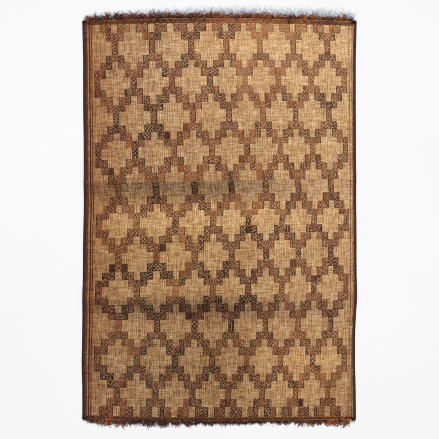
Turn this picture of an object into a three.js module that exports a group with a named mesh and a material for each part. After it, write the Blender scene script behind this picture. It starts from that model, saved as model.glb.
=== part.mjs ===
// Reed and leather floor mat, lying flat: a woven field of reeds crossed by leather thongs, a leather
// binding folded over the reed ends along each long side, a leather cord along each end, and the cut
// ends of the thongs as a short fringe beyond the cords.
// Millimetres, +Z up. X runs across the mat along the reeds, and Y runs along the thongs.
// The origin is at the middle of the mat's footprint, on the surface it lies on.
import * as THREE from "three";

// The woven field.
const MAT_WIDTH = 1595; // outer edge of one binding to the outer edge of the other
const WOVEN_LENGTH = 2333; // first reed to last reed
const FIELD_THICKNESS = 3.6; // a 2.4 mm reed with 0.6 mm of thong above and below it
const GAP = 0.3; // clearance between neighbouring pieces

// The bindings, folded over the reed ends.
const BINDING_LEATHER = 1.2;
const BINDING_LEFT_COVER = 28; // how far the fold covers the field, left side
const BINDING_RIGHT_COVER = 20; // and on the right side, where the reeds run further in
const BINDING_HEIGHT = 2 * (BINDING_LEATHER + GAP) + FIELD_THICKNESS;
const EDGE_RISE = BINDING_LEATHER + GAP; // the field's edge rides up on the binding's lower leg
const EDGE_SHELF = 31; // width that stays at that height, a little more than the widest cover
const EDGE_SLOPE = 45; // width over which it comes down to the floor again

// The cords and the fringe beyond the first and last reed.
const CORD_WIDTH = 8;
const CORD_HEIGHT = 4.2;
const CORD_SIDES = 8;
const FRINGE_HEIGHT = 3;
const FRINGE_ROOT = 9; // depth of the unbroken strip behind the thong ends
const FRINGE_ROOT_UNEVENNESS = 1;
const FRINGE_TOP_REACH = 40; // mean length of the thong ends past that strip
const FRINGE_BOTTOM_REACH = 38;
const FRINGE_UNEVENNESS = 9; // longer or shorter than the mean
const FRINGE_TOOTH = 26; // one bunch of thong ends and the gap beside it
const FRINGE_BUNCH_SHARE = 0.62; // the bunch's share of that at its root
const FRINGE_TIP_SHARE = 0.7; // a bunch's width at its tip, of its width at the root
const FRINGE_LEAN = 0.25; // how far a tip leans to one side, in bunch spacings
const FRINGE_SIDE_INSET = 12; // the fringe stops this far short of the bindings' outer edges

// How the meshes are divided: columns across, and steps down the length to each of these fractions of it,
// with short steps over the folds.
const FIELD_COLUMNS = 14;
const LENGTH_ZONES = [
  { to: 0.346, steps: 11 },
  { to: 0.402, steps: 7 },
  { to: 0.45, steps: 7 },
  { to: 0.5, steps: 5 },
  { to: 0.605, steps: 5 },
  { to: 0.649, steps: 1 },
  { to: 0.694, steps: 6 },
  { to: 0.73, steps: 5 },
  { to: 1, steps: 11 },
];

// How far each long edge stands out from its straight line, at fractions of the length from the top end.
const SIDE_WAVER = [
  { down: 0.0, left: 3, right: 4 },
  { down: 0.1, left: -2, right: -1 },
  { down: 0.2, left: -2, right: -1 },
  { down: 0.3, left: -5, right: 0 },
  { down: 0.45, left: -6, right: 1 },
  { down: 0.6, left: -1, right: 3.5 },
  { down: 0.7, left: 2, right: 5 },
  { down: 0.8, left: 4, right: -5 },
  { down: 0.86, left: 7, right: -5.5 },
  { down: 0.93, left: 3, right: -1.5 },
  { down: 1.0, left: 3, right: 0 },
];

// How far each end stands out from its straight line, at fractions of the width from the left side.
const END_BOW = [
  { across: 0.0, top: -7.5, bottom: -7 },
  { across: 0.15, top: -1.5, bottom: -1 },
  { across: 0.3, top: 3.5, bottom: 4 },
  { across: 0.5, top: 4.5, bottom: 4 },
  { across: 0.65, top: 2.5, bottom: 2 },
  { across: 0.8, top: -3, bottom: 0.5 },
  { across: 1.0, top: -12.5, bottom: -3 },
];

// Cross ridges left by folding: a crease, a low swell below it and a second ridge. Above and below are how
// far each runs to its feet, and crest and foot tell how round it is there, from 1 for a sharp bend.
const FOLD_RIDGES = [
  { down: 0.402, above: 130, below: 112, height: 9, crest: 1.1, foot: 2 },
  { down: 0.5, above: 116, below: 245, height: 5, crest: 2, foot: 2 },
  { down: 0.694, above: 105, below: 84, height: 8, crest: 2, foot: 1.2 },
];

// Smooth value of one column of a table, read at a place between its rows.
function readTable(table, place, column, at) {
  const last = table.length - 1;
  const next = Math.min(Math.max(table.findIndex((row) => row[place] >= at), 1), last);
  const before = table[next - 1];
  const after = table[next];
  const share = (at - before[place]) / (after[place] - before[place]);
  return THREE.MathUtils.lerp(
    before[column],
    after[column],
    THREE.MathUtils.smoothstep(share, 0, 1),
  );
}

// Fractions of the width at which the sheet is divided: both ends of the shelf and of the slope on each
// side, and even columns between them.
function columnFractions() {
  const left = [0, EDGE_SHELF, EDGE_SHELF + EDGE_SLOPE / 2].map((mm) => mm / MAT_WIDTH);
  const inner = (EDGE_SHELF + EDGE_SLOPE) / MAT_WIDTH;
  const count = FIELD_COLUMNS - 2 * left.length;
  const middle = Array.from({ length: count + 1 }, (_, i) =>
    THREE.MathUtils.lerp(inner, 1 - inner, i / count),
  );
  return [...left, ...middle, ...left.map((share) => 1 - share).reverse()];
}
const COLUMNS = columnFractions();

// Fractions of the length at which it is divided.
const DOWNS = [0];
for (const zone of LENGTH_ZONES) {
  const from = DOWNS[DOWNS.length - 1];
  for (let i = 1; i <= zone.steps; i++) DOWNS.push(THREE.MathUtils.lerp(from, zone.to, i / zone.steps));
}
const LENGTH_STEPS = DOWNS.length - 1;

// How far an end stands out, straight between the columns, so that its neighbours keep their gap.
function endBow(end, across) {
  const next = Math.max(COLUMNS.findIndex((share) => share >= across), 1);
  const [before, after] = [COLUMNS[next - 1], COLUMNS[next]];
  return THREE.MathUtils.lerp(
    readTable(END_BOW, "across", end, before),
    readTable(END_BOW, "across", end, after),
    (across - before) / (after - before),
  );
}

// Outer edges of the mat, and its ends, as functions of the fraction down its length or across it.
const leftEdge = (down) => -MAT_WIDTH / 2 - readTable(SIDE_WAVER, "down", "left", down);
const rightEdge = (down) => MAT_WIDTH / 2 + readTable(SIDE_WAVER, "down", "right", down);
const topEdge = (across) => WOVEN_LENGTH / 2 + endBow("top", across);
const bottomEdge = (across) => -WOVEN_LENGTH / 2 - endBow("bottom", across);
const alongAt = (across, down) => THREE.MathUtils.lerp(topEdge(across), bottomEdge(across), down);

// Lift of the fold ridges at a fraction down the length.
function ridgeLift(down) {
  let lift = 0;
  for (const ridge of FOLD_RIDGES) {
    const reach = down < ridge.down ? ridge.above : ridge.below;
    const away = Math.abs(down - ridge.down) * WOVEN_LENGTH / reach;
    if (away < 1) lift += ridge.height * (1 - away ** ridge.crest) ** ridge.foot;
  }
  return lift;
}

// Repeatable unevenness between -1 and 1 for the n-th piece of a row.
function unevenness(n, row) {
  const wave = Math.sin(n * 12.9898 + row * 78.233) * 43758.5453;
  return 2 * (wave - Math.floor(wave)) - 1;
}

// Moves every vertex of a geometry to where place() puts it.
function reshape(geometry, place) {
  const position = geometry.getAttribute("position");
  const vertex = new THREE.Vector3();
  for (let i = 0; i < position.count; i++) {
    vertex.fromBufferAttribute(position, i);
    const moved = place(vertex);
    position.setXYZ(i, moved.x, moved.y, moved.z);
  }
  geometry.computeVertexNormals();
  return geometry;
}

function pieceOf(name, geometry, colour, roughness) {
  const material = new THREE.MeshStandardMaterial({ color: colour, roughness, metalness: 0 });
  const mesh = new THREE.Mesh(geometry, material);
  mesh.name = name;
  return mesh;
}

// The woven field: one sheet, flat on the floor but for its edges and the fold ridges.
function wovenField() {
  const inset = BINDING_LEATHER + 2 * GAP;
  const slab = new THREE.BoxGeometry(FIELD_COLUMNS, LENGTH_STEPS, 1, FIELD_COLUMNS, LENGTH_STEPS, 1);
  return reshape(slab, (vertex) => {
    const across = COLUMNS[Math.round(vertex.x + FIELD_COLUMNS / 2)];
    const down = DOWNS[Math.round(LENGTH_STEPS / 2 - vertex.y)];
    const left = leftEdge(down) + inset;
    const right = rightEdge(down) - inset;
    const fromEdge = Math.min(across, 1 - across) * MAT_WIDTH;
    const shelfEnd = EDGE_SHELF + EDGE_SLOPE;
    const rise = EDGE_RISE * (1 - THREE.MathUtils.smoothstep(fromEdge, EDGE_SHELF, shelfEnd));
    return new THREE.Vector3(
      THREE.MathUtils.lerp(left, right, across),
      alongAt(across, down),
      rise + ridgeLift(down) + (vertex.z > 0 ? FIELD_THICKNESS : 0),
    );
  });
}

// Section of a binding: a leather strip folded round the field's edge, side -1 for left, 1 for right.
// Its first coordinate is measured outwards from the mat's outer edge and its second is the height.
function bindingSection(side, cover) {
  const nose = BINDING_HEIGHT / 2;
  const outline = [
    [-cover, 0],
    [-nose * 0.7, 0],
    [-nose * 0.2, nose * 0.4],
    [0, nose],
    [-nose * 0.2, nose * 1.6],
    [-nose * 0.7, BINDING_HEIGHT],
    [-cover, BINDING_HEIGHT],
    [-cover, BINDING_HEIGHT - BINDING_LEATHER],
    [-BINDING_LEATHER - GAP, BINDING_HEIGHT - BINDING_LEATHER],
    [-BINDING_LEATHER - GAP, BINDING_LEATHER],
    [-cover, BINDING_LEATHER],
  ];
  return new THREE.Shape(outline.map(([out, up]) => new THREE.Vector2(side * out, up)));
}

function binding(side, cover) {
  const edge = side < 0 ? leftEdge : rightEdge;
  const strip = new THREE.ExtrudeGeometry(bindingSection(side, cover), {
    depth: 1,
    steps: LENGTH_STEPS,
    bevelEnabled: false,
  });
  return reshape(strip, (vertex) => {
    const down = DOWNS[Math.round(vertex.z * LENGTH_STEPS)];
    return new THREE.Vector3(
      edge(down) + vertex.x,
      alongAt(side < 0 ? 0 : 1, down),
      vertex.y + ridgeLift(down),
    );
  });
}

// The cord along an end, end 1 for the top and -1 for the bottom: a rounded section that follows the
// last reed from one binding to the other.
function endCord(end) {
  const section = new THREE.Shape();
  section.absellipse(0, CORD_HEIGHT / 2, CORD_WIDTH / 2, CORD_HEIGHT / 2, 0, 2 * Math.PI, false, 0);
  const cord = new THREE.ExtrudeGeometry(section, {
    depth: 1,
    steps: FIELD_COLUMNS,
    bevelEnabled: false,
    curveSegments: CORD_SIDES,
  });
  const lastReed = end > 0 ? topEdge : bottomEdge;
  const down = end > 0 ? 0 : 1;
  return reshape(cord, (vertex) => {
    const across = COLUMNS[Math.round(vertex.z * FIELD_COLUMNS)];
    return new THREE.Vector3(
      THREE.MathUtils.lerp(leftEdge(down), rightEdge(down), across),
      lastReed(across) + end * (GAP + CORD_WIDTH / 2) + vertex.x,
      vertex.y,
    );
  });
}

// The fringe along an end: a comb of bunched thong ends, uneven in length, joined at their root.
function fringe(end, reach) {
  const down = end > 0 ? 0 : 1;
  const [left, right] = [leftEdge(down), rightEdge(down)];
  const insetShare = FRINGE_SIDE_INSET / (right - left);
  const bunches = Math.round((right - left - 2 * FRINGE_SIDE_INSET) / FRINGE_TOOTH);
  const pitch = (1 - 2 * insetShare) / bunches;
  const half = 0.5 * FRINGE_BUNCH_SHARE * pitch;
  const lastReed = end > 0 ? topEdge : bottomEdge;
  const cordOuter = end * (2 * GAP + CORD_WIDTH);
  const at = (across, out) =>
    new THREE.Vector2(
      THREE.MathUtils.lerp(left, right, across),
      lastReed(across) + cordOuter + end * out,
    );

  const outline = [];
  for (let bunch = 0; bunch < bunches; bunch++) {
    const middle = insetShare + (bunch + 0.5) * pitch;
    const leant = middle + FRINGE_LEAN * pitch * unevenness(bunch, 2 * end);
    const root = FRINGE_ROOT + FRINGE_ROOT_UNEVENNESS * unevenness(bunch, 3 * end);
    const tip = FRINGE_ROOT + reach + FRINGE_UNEVENNESS * unevenness(bunch, end);
    outline.push(at(middle - half, root), at(leant - half * FRINGE_TIP_SHARE, tip));
    outline.push(at(leant + half * FRINGE_TIP_SHARE, tip), at(middle + half, root));
  }
  const inner = COLUMNS.filter((share) => share > insetShare && share < 1 - insetShare);
  for (const share of [1 - insetShare, ...inner.reverse(), insetShare]) outline.push(at(share, 0));

  return new THREE.ExtrudeGeometry(new THREE.Shape(outline), {
    depth: FRINGE_HEIGHT,
    bevelEnabled: false,
  });
}

// The pieces, placed so that the middle of their footprint is the origin.
const pieces = new THREE.Group();
pieces.add(pieceOf("woven_field", wovenField(), "#c79f68", 0.75));
pieces.add(pieceOf("binding_left", binding(-1, BINDING_LEFT_COVER), "#3b2a2e", 0.55));
pieces.add(pieceOf("binding_right", binding(1, BINDING_RIGHT_COVER), "#3b2a2e", 0.55));
pieces.add(pieceOf("end_cord_top", endCord(1), "#8a5330", 0.6));
pieces.add(pieceOf("end_cord_bottom", endCord(-1), "#8a5330", 0.6));
pieces.add(pieceOf("fringe_top", fringe(1, FRINGE_TOP_REACH), "#4a2a1c", 0.7));
pieces.add(pieceOf("fringe_bottom", fringe(-1, FRINGE_BOTTOM_REACH), "#4a2a1c", 0.7));

const footprint = new THREE.Box3().setFromObject(pieces);
const middle = footprint.getCenter(new THREE.Vector3());
pieces.position.set(-middle.x, -middle.y, 0);

const mat = new THREE.Group();
mat.add(pieces);

export default mat;
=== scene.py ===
"""A reed and leather floor mat, lying flat and seen from straight above.

Reeds lie across the mat, and leather thongs run its length over and under them. Where the thongs float over
the reeds they make a stepped lattice. Whatever is woven is set out in weave places, (thong, reed, height),
and lay() says where such a place is on the mat. Lengths are in millimetres until a mesh is made.
"""
import math

import bmesh
import bpy
import numpy as np
from mathutils import Matrix, Vector


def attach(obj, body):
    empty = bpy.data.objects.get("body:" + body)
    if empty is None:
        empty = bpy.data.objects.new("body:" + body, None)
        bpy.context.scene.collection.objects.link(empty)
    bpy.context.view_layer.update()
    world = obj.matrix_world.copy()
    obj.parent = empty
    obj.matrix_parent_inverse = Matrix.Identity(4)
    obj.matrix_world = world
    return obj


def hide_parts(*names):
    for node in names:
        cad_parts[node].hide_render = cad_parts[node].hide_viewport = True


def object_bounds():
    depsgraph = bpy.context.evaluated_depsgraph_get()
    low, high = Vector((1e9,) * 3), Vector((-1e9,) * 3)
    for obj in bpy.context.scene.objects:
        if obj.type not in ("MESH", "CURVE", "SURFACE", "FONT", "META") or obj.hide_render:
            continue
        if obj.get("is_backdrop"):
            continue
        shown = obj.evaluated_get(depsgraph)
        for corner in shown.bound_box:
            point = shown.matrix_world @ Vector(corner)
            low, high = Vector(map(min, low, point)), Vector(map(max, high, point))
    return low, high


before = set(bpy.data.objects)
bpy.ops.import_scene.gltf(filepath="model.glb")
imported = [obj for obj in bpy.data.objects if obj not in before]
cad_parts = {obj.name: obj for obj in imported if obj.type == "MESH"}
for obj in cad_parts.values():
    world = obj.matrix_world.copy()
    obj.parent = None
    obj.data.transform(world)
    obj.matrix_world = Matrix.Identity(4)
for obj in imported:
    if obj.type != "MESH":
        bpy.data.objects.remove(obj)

cad_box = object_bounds()
MM = 0.001
SEEDS = {"reeds": 11, "lattice": 23, "borders": 29, "back": 31, "cords": 59, "fringes": 61, "hairs": 71}


def named_rows(names, *values):
    """A table: one row of values a line, under the names of its columns."""
    return [dict(zip(names.split(), row, strict=True)) for row in values]


def column(table, name):
    """One column of a table, as an array."""
    return np.array([row[name] for row in table], dtype=float)


# The weave. Thongs are counted from the lattice's left end and reeds from the mat's top end.
REEDS = 1064
MODULE_THONGS = 8  # a module is the narrowest step of the lattice
MODULES = 43
BAR_MODULES = 3  # from one bar to the next bar of the row above or below
LEFT_BORDER = 15  # thongs between the mat's left edge and the lattice
RIGHT_BORDER = 13
LATTICE_THONGS = MODULES * MODULE_THONGS
TIE_REEDS = 8  # a thong comes up over every eighth reed outside the lattice
RIM_THONGS, RIM_REEDS = 1, 2  # solid leather round each step of the lattice

# The stems' streaks, in thongs across and reeds along.
STREAK_THONGS, STREAK_REEDS, LONG_STREAK_REEDS = 1.25, 4.0, 22.0
STEM_REEDS, STEM_THONGS = 2.3, 9.0
PATCH_THONGS, PATCH_REEDS = 3.2, 9.0

FOLDS_FROM, FOLDS_TO = 0.345, 0.731  # the mat lies flat above and below these shares of its length

# Heights in the weave.
REED_LOW, REED_HIGH = 0.7, 2.6
FLOAT_LOW, FLOAT_HIGH = 2.1, 3.5
BACK_THONG_LOW, BACK_THONG_HIGH = 0.05, 0.65

# Each bar's middle across the mat, near its top, at its middle and near its bottom.
BAR_DOWNS = (0.07, 0.55, 0.93)
BAR_COLUMNS = named_rows(
    "top middle bottom",
    (-711, -702, -716),
    (-610, -589, -596),
    (-500, -483, -481),
    (-392, -368, -371),
    (-281, -255, -258),
    (-164, -145, -156),
    (-56, -36, -44),
    (40, 72, 53),
    (148, 167, 154),
    (234, 273, 250),
    (340, 364, 352),
    (430, 459, 445),
    (532, 549, 541),
    (629, 649, 634),
    (725, 739, 726),
)
# How far the thongs lie to the right of those smooth lines. They are pushed over along the creases.
THONG_LEAN = named_rows(
    "down right",
    (0.0, 1),
    (0.10, 0.5),
    (0.15, -2.5),
    (0.17, -3.5),
    (0.21, -0.5),
    (0.25, -1),
    (0.39, -1),
    (0.415, 2.5),
    (0.437, 7),
    (0.459, 8),
    (0.482, 6.5),
    (0.504, 1),
    (0.56, 1),
    (0.60, 2.5),
    (0.66, 2.5),
    (0.70, 0),
    (0.755, 5),
    (0.80, 3),
    (0.86, 0),
    (1.0, 0),
)
LEAN_BLEND = 120  # the lean fades out this far inside the bindings

# Reeds in each step of the lattice, from the top. The first and last rows are cut off by the ends.
END_BAND_REEDS = 13
LATTICE_ROWS = named_rows(
    "bar foot arms cap",
    (0, 0, 21, 21),
    (37, 18, 19, 23),
    (26, 20, 22, 19),
    (35, 21, 21, 18),
    (29, 22, 19, 26),
    (34, 22, 21, 16),
    (26, 22, 20, 22),
    (29, 23, 22, 18),
    (28, 21, 23, 20),
    (34, 19, 21, 22),
    (28, 20, 20, 20),
    (27, 21, 27, 0),
)
# The nearest and the farthest module of leather from the closest bar of the row.
LEATHER_REACH = {"bar": (0, 0), "foot": (0, 1), "arms": (1, 2), "cap": (2, 3)}

# How the rows of reeds lean and bow: rise is how far the right side lies above the middle for the lean
# alone, and sag how far both sides lie below it for the bow alone.
ROW_MIDDLE, ROW_HALF = 28, 653
ROW_BOW = named_rows(
    "down rise sag",
    (0.0, -2, 13),
    (0.1, 4, 10),
    (0.2, 12, 12),
    (0.35, 16, 7),
    (0.5, 15, 6),
    (0.6, 20.5, -2),
    (0.7, 15, -4),
    (0.8, 1.5, -6.5),
    (0.9, 1.5, -8),
    (1.0, 0, -4),
)
END_BLEND = 0.05  # share of the length over which the rows take up the shape of the ends
# How far the first rows and the top cord are drawn in.
TOP_DRAWN_IN = named_rows(
    "across in",
    (-780, 5),
    (-690, 6),
    (-580, 5),
    (-360, 2.5),
    (-130, 0),
    (130, 1.5),
    (400, 2.5),
    (640, 3),
    (780, 4),
)
DRAWN_IN_BLEND = 0.0125


def smooth(share):
    """Eases a share between 0 and 1 in and out."""
    share = np.clip(share, 0, 1)
    return share * share * (3 - 2 * share)


def points_of(node):
    """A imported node's vertices in millimetres."""
    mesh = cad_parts[node].data
    flat = np.empty(3 * len(mesh.vertices), dtype=np.float32)
    mesh.vertices.foreach_get("co", flat)
    return flat.reshape(-1, 3).astype(float) / MM


def line_of(node, along, across, pick):
    """A node's places along one axis, and what pick finds across another at each of them."""
    points = points_of(node).round(2)
    levels = np.unique(points[:, along])
    return levels, np.array([pick(points[points[:, along] == at, across]) for at in levels])


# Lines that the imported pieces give: both outer edges, both ends and the lift of the folds. The end cords
# lie a gap away from the first and last reed.
GAP = 0.3
LEVELS, LEFT_LINE = (values[::-1] for values in line_of("binding_left", 1, 0, np.min))
RIGHT_LINE = line_of("binding_right", 1, 0, np.max)[1][::-1]
LIFT_LINE = line_of("binding_left", 1, 2, np.min)[1][::-1]
LINE_DOWNS = (LEVELS[0] - LEVELS) / (LEVELS[0] - LEVELS[-1])
TOP_X, TOP_Y = line_of("end_cord_top", 0, 1, np.min)
BOTTOM_X, BOTTOM_Y = line_of("end_cord_bottom", 0, 1, np.max)
TOP_Y, BOTTOM_Y = TOP_Y - GAP, BOTTOM_Y + GAP
TOP_MIDDLE = float(np.interp(ROW_MIDDLE, TOP_X, TOP_Y))
BOTTOM_MIDDLE = float(np.interp(ROW_MIDDLE, BOTTOM_X, BOTTOM_Y))
REED_PITCH = (TOP_MIDDLE - BOTTOM_MIDDLE) / REEDS

EDGE_INSET = 2  # the reeds stop this far inside the binding's outer edge
KNOT_THONGS = np.array(
    [-LEFT_BORDER]
    + [BAR_MODULES * MODULE_THONGS * bar + MODULE_THONGS / 2 for bar in range(len(BAR_COLUMNS))]
    + [LATTICE_THONGS + RIGHT_BORDER]
)


def thong_lines():
    """Place across of every knot thong at each of LINE_DOWNS."""
    bars = [
        np.polyval(np.polyfit(BAR_DOWNS, (bar["top"], bar["middle"], bar["bottom"]), 2), LINE_DOWNS)
        for bar in BAR_COLUMNS
    ]
    return np.column_stack([LEFT_LINE + EDGE_INSET, *bars, RIGHT_LINE - EDGE_INSET])


THONG_LINES = thong_lines()


def across_at(thong, down):
    """Place across the mat of a thong, at a share of the way down."""
    row = np.interp(down, LINE_DOWNS, np.arange(len(LINE_DOWNS)))
    knot = np.interp(thong, KNOT_THONGS, np.arange(len(KNOT_THONGS)))
    above = np.minimum(row.astype(int), len(LINE_DOWNS) - 2)
    before = np.minimum(knot.astype(int), len(KNOT_THONGS) - 2)
    row, knot = row - above, knot - before
    upper = THONG_LINES[above, before] * (1 - knot) + THONG_LINES[above, before + 1] * knot
    lower = THONG_LINES[above + 1, before] * (1 - knot) + THONG_LINES[above + 1, before + 1] * knot
    x = upper * (1 - row) + lower * row
    left = np.interp(down, LINE_DOWNS, LEFT_LINE)
    right = np.interp(down, LINE_DOWNS, RIGHT_LINE)
    inside = smooth(np.minimum(x - left, right - x) / LEAN_BLEND)
    return x + inside * np.interp(down, column(THONG_LEAN, "down"), column(THONG_LEAN, "right"))


def row_shift(x, down):
    """How far a row of reeds lies above its place at the middle."""
    side = (x - ROW_MIDDLE) / ROW_HALF
    rise = np.interp(down, column(ROW_BOW, "down"), column(ROW_BOW, "rise"))
    sag = np.interp(down, column(ROW_BOW, "down"), column(ROW_BOW, "sag"))
    top = np.interp(x, TOP_X, TOP_Y) - TOP_MIDDLE
    bottom = np.interp(x, BOTTOM_X, BOTTOM_Y) - BOTTOM_MIDDLE
    near_top = smooth(1 - down / END_BLEND)
    near_bottom = smooth(1 - (1 - down) / END_BLEND)
    woven = rise * side - sag * side * side
    shift = woven * (1 - near_top - near_bottom) + top * near_top + bottom * near_bottom
    return shift - drawn_in(x) * smooth(1 - down / DRAWN_IN_BLEND)


def drawn_in(x):
    """How far the top end is drawn in at a place across the mat."""
    return np.interp(x, column(TOP_DRAWN_IN, "across"), column(TOP_DRAWN_IN, "in"))


def lift_at(down):
    """Height of the folds at a share of the way down."""
    return np.interp(down, LINE_DOWNS, LIFT_LINE)


def end_line(out):
    """Places across, and along, of the mat's top end (1) or bottom end (-1)."""
    if out > 0:
        return TOP_X, TOP_Y - drawn_in(TOP_X)
    return BOTTOM_X, BOTTOM_Y


def lay(thong, reed, height):
    """The points on the mat of places in the weave."""
    thong, reed, height = np.broadcast_arrays(*(np.asarray(v, dtype=float) for v in (thong, reed, height)))
    down = reed / REEDS
    x = across_at(thong, down)
    y = TOP_MIDDLE - REED_PITCH * reed + row_shift(x, down)
    return np.stack([x, y, height + lift_at(down)], axis=-1)


# Uneven brightness and tint of the whole mat: it is brighter at its top right and darker at its left side and
# bottom, and painted shade darkens its folds. Each row has the value at the top middle, and what is added
# towards the right side, towards the bottom, and towards the bottom right.
WEAR_AND_SHADE_ACROSS = 800
WEAR_AND_SHADE_BASE = {
    "bright": (0.87, 0.20, -0.35, -0.20),
    "red": (-0.1, -0.5, 0.4, 0.6),
    "yellow": (0.0, 0.1, 0.0, -0.1),
}
# Soft patches that are brighter or darker, redder from the dye, and yellower or greyer than round them.
WEAR_AND_SHADE_PATCHES = named_rows(
    "across down wide long bright red yellow",
    # The left border's dye has spread along the whole side.
    (-780, 0.50, 130, 2000, -0.1, 1.0, -0.1),
    # The top is brighter at its middle and grey at its left.
    (100, 0.08, 350, 230, 0.1, -0.1, 0.0),
    (-350, 0.12, 250, 200, 0.0, -0.3, -0.1),
    # Painted shade lies grey in the upper crease, with painted light on the slope below it and a golden field
    # lower down.
    (-200, 0.43, 700, 80, -0.2, 0.3, -0.4),
    (-50, 0.50, 900, 150, 0.15, -0.2, 0.1),
    (-300, 0.57, 450, 420, 0.0, 0.0, 0.7),
    (450, 0.64, 250, 200, 0.1, -0.2, 0.1),
    # Painted shade lies grey in the lower crease too.
    (-100, 0.725, 600, 60, -0.2, 0.3, -0.5),
    # The bottom is darker at its left, red at its middle and golden at its right.
    (-350, 0.87, 450, 150, -0.05, 0.0, 0.0),
    (0, 0.83, 250, 350, -0.1, 0.3, 0.3),
    (480, 0.87, 300, 200, 0.2, -0.2, 0.5),
)
# What a redness of 1 leaves of green and blue, how pale the straw's blue is without it, and what a yellowness
# of 1 takes from the blue.
RED_GREEN, RED_BLUE, PLAIN_BLUE, YELLOW_BLUE = 0.80, 0.74, 1.09, 0.2
# Painted shade below the crease of each fold, on its side turned from the light, with a sharp upper edge. It
# is at its thickest over so much of its reach.
CREASE_SOLID = 0.15
CREASE_PAINTED_SHADE = named_rows(
    "across down half_width reach dirt",
    (-330, 0.407, 520, 0.045, 0.30),
    (120, 0.403, 260, 0.040, 0.16),
    (-250, 0.700, 620, 0.034, 0.16),
)


def down_at(points):
    """How far down the mat each point lies, as a share of its length."""
    return (TOP_MIDDLE - points[..., 1]) / (REED_PITCH * REEDS)


def nearness(points, patch):
    """How much a soft patch has to say at each point, from 0 to 1."""
    wide = (points[..., 0] - patch["across"]) / patch["wide"]
    long = (down_at(points) - patch["down"]) * REED_PITCH * REEDS / patch["long"]
    return np.exp(-(wide**2) - long**2)


def wear_and_shade_value(points, name):
    """One kind of unevenness at each point, the painted shade and light by the creases included."""
    side, down = points[..., 0] / WEAR_AND_SHADE_ACROSS, down_at(points)
    even, right, bottom, bottom_right = WEAR_AND_SHADE_BASE[name]
    value = even + right * side + bottom * down + bottom_right * side * down
    return value + sum(patch[name] * nearness(points, patch) for patch in WEAR_AND_SHADE_PATCHES)


def brightness(points):
    """How bright the mat's unevenness, with the painted shade and light by its creases, leaves each point."""
    bright = wear_and_shade_value(points, "bright")
    # Each crease darkens the mat below it with painted shade.
    for crease in CREASE_PAINTED_SHADE:
        wide = (points[..., 0] - crease["across"]) / crease["half_width"]
        below = (down_at(points) - crease["down"]) / crease["reach"]
        share = np.where(below > 0, np.clip(1 + CREASE_SOLID - below, 0, 1), 0)
        bright = bright * (1 - crease["dirt"] * share * np.exp(-(wide**4)))
    return bright


def tint(points):
    """The red, green and blue that the mat's dye and uneven tone leave at each point, with the greyer painted
    shade of its creases.
    """
    red, yellow = wear_and_shade_value(points, "red"), wear_and_shade_value(points, "yellow")
    green = 1 - (1 - RED_GREEN) * red
    blue = PLAIN_BLUE - (PLAIN_BLUE - RED_BLUE) * red - YELLOW_BLUE * yellow
    return np.stack([np.ones_like(red), green, blue], axis=-1)


def wear_and_shade_colour(points):
    """The tint that the mat's unevenness, with the painted shade and light by its creases, gives to straw at
    each point.
    """
    bright = brightness(points)[..., None]
    return np.concatenate([bright * tint(points), np.ones_like(bright)], axis=-1)


# Colours and shader nodes.
def linear(colour):
    """An sRGB hex colour as linear red, green, blue and alpha."""
    parts = [int(colour[i : i + 2], 16) / 255 for i in (1, 3, 5)]
    return [p / 12.92 if p <= 0.04045 else ((p + 0.055) / 1.055) ** 2.4 for p in parts] + [1.0]


def add(tree, kind, inputs=None, output=0, stops=(), **settings):
    """Adds a shader node, sets it up, sets or links its inputs, and gives one of its outputs. Stops are the
    places and hex colours of a ramp."""
    node = tree.nodes.new("ShaderNode" + kind)
    for name, value in settings.items():
        setattr(node, name, value)
    for name, value in (inputs or {}).items():
        if isinstance(value, bpy.types.NodeSocket):
            tree.links.new(value, node.inputs[name])
        else:
            node.inputs[name].default_value = value
    while stops and len(node.color_ramp.elements) < len(stops):
        node.color_ramp.elements.new(0.5)
    for number, (place, colour) in enumerate(stops):
        node.color_ramp.elements[number].position = place
        node.color_ramp.elements[number].color = linear(colour)
    return node.outputs[output]


def new_material(name, fixed):
    """A material with one shader, its fixed values set on its own sockets."""
    material = bpy.data.materials.new(name)
    material.use_nodes = True
    tree = material.node_tree
    shader = tree.nodes["Principled BSDF"]
    for socket, value in fixed.items():
        shader.inputs[socket].default_value = value
    return material, tree, shader


def chance(tree, first, second):
    """An even random number for each pair of whole numbers."""
    pair = add(tree, "CombineXYZ", {0: first, 1: second})
    return add(tree, "TexWhiteNoise", {"Vector": pair}, noise_dimensions="2D")


def cloudy(tree, size, detail, stretch=(1, 1, 1)):
    """Soft clouds of a size in millimetres, on the piece's own coordinates."""
    place = add(tree, "TexCoord", output="Object")
    place = add(tree, "Mapping", {"Vector": place, "Scale": stretch})
    return add(tree, "TexNoise", {"Vector": place, "Scale": 1 / (size * MM), "Detail": detail})


# The straw's tones run from 0 to 1. The parts below add up to their shares, on top of the lowest tone.
LOWEST_TONE, MIDDLE_TONE = -0.055, 0.53
TONE_SHARES = {"strip": 0.28, "every_other_strip": 0.14, "long_strip": 0.36, "stem": 0.36, "patch": 0.03}
STRAW_TONES = [(0.0, "#785739"), (0.3, "#B68A58"), (0.6, "#DCB27B"), (1.0, "#FAE2B4")]
DARKER_STRAW_CONTRAST, BRIGHTER_STRAW_EVENNESS = 1.52, 0.75  # brighter straw is more even than darker straw, painted crease shade included
RED_STEM, RED_FROM, RED_SHARE = "#A8663F", 0.90, 0.45  # few stems are reddish
# Damp and handling turn some areas olive and others pink, seven of them to a metre.
CAST_SIZE, CAST_STRETCH = 1000 / 7, (1, 1.6, 1)
CAST_COLOURS = [(0.36, "#FDFCF8"), (0.5, "#FFFFFF"), (0.64, "#FFFBF8")]
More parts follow.
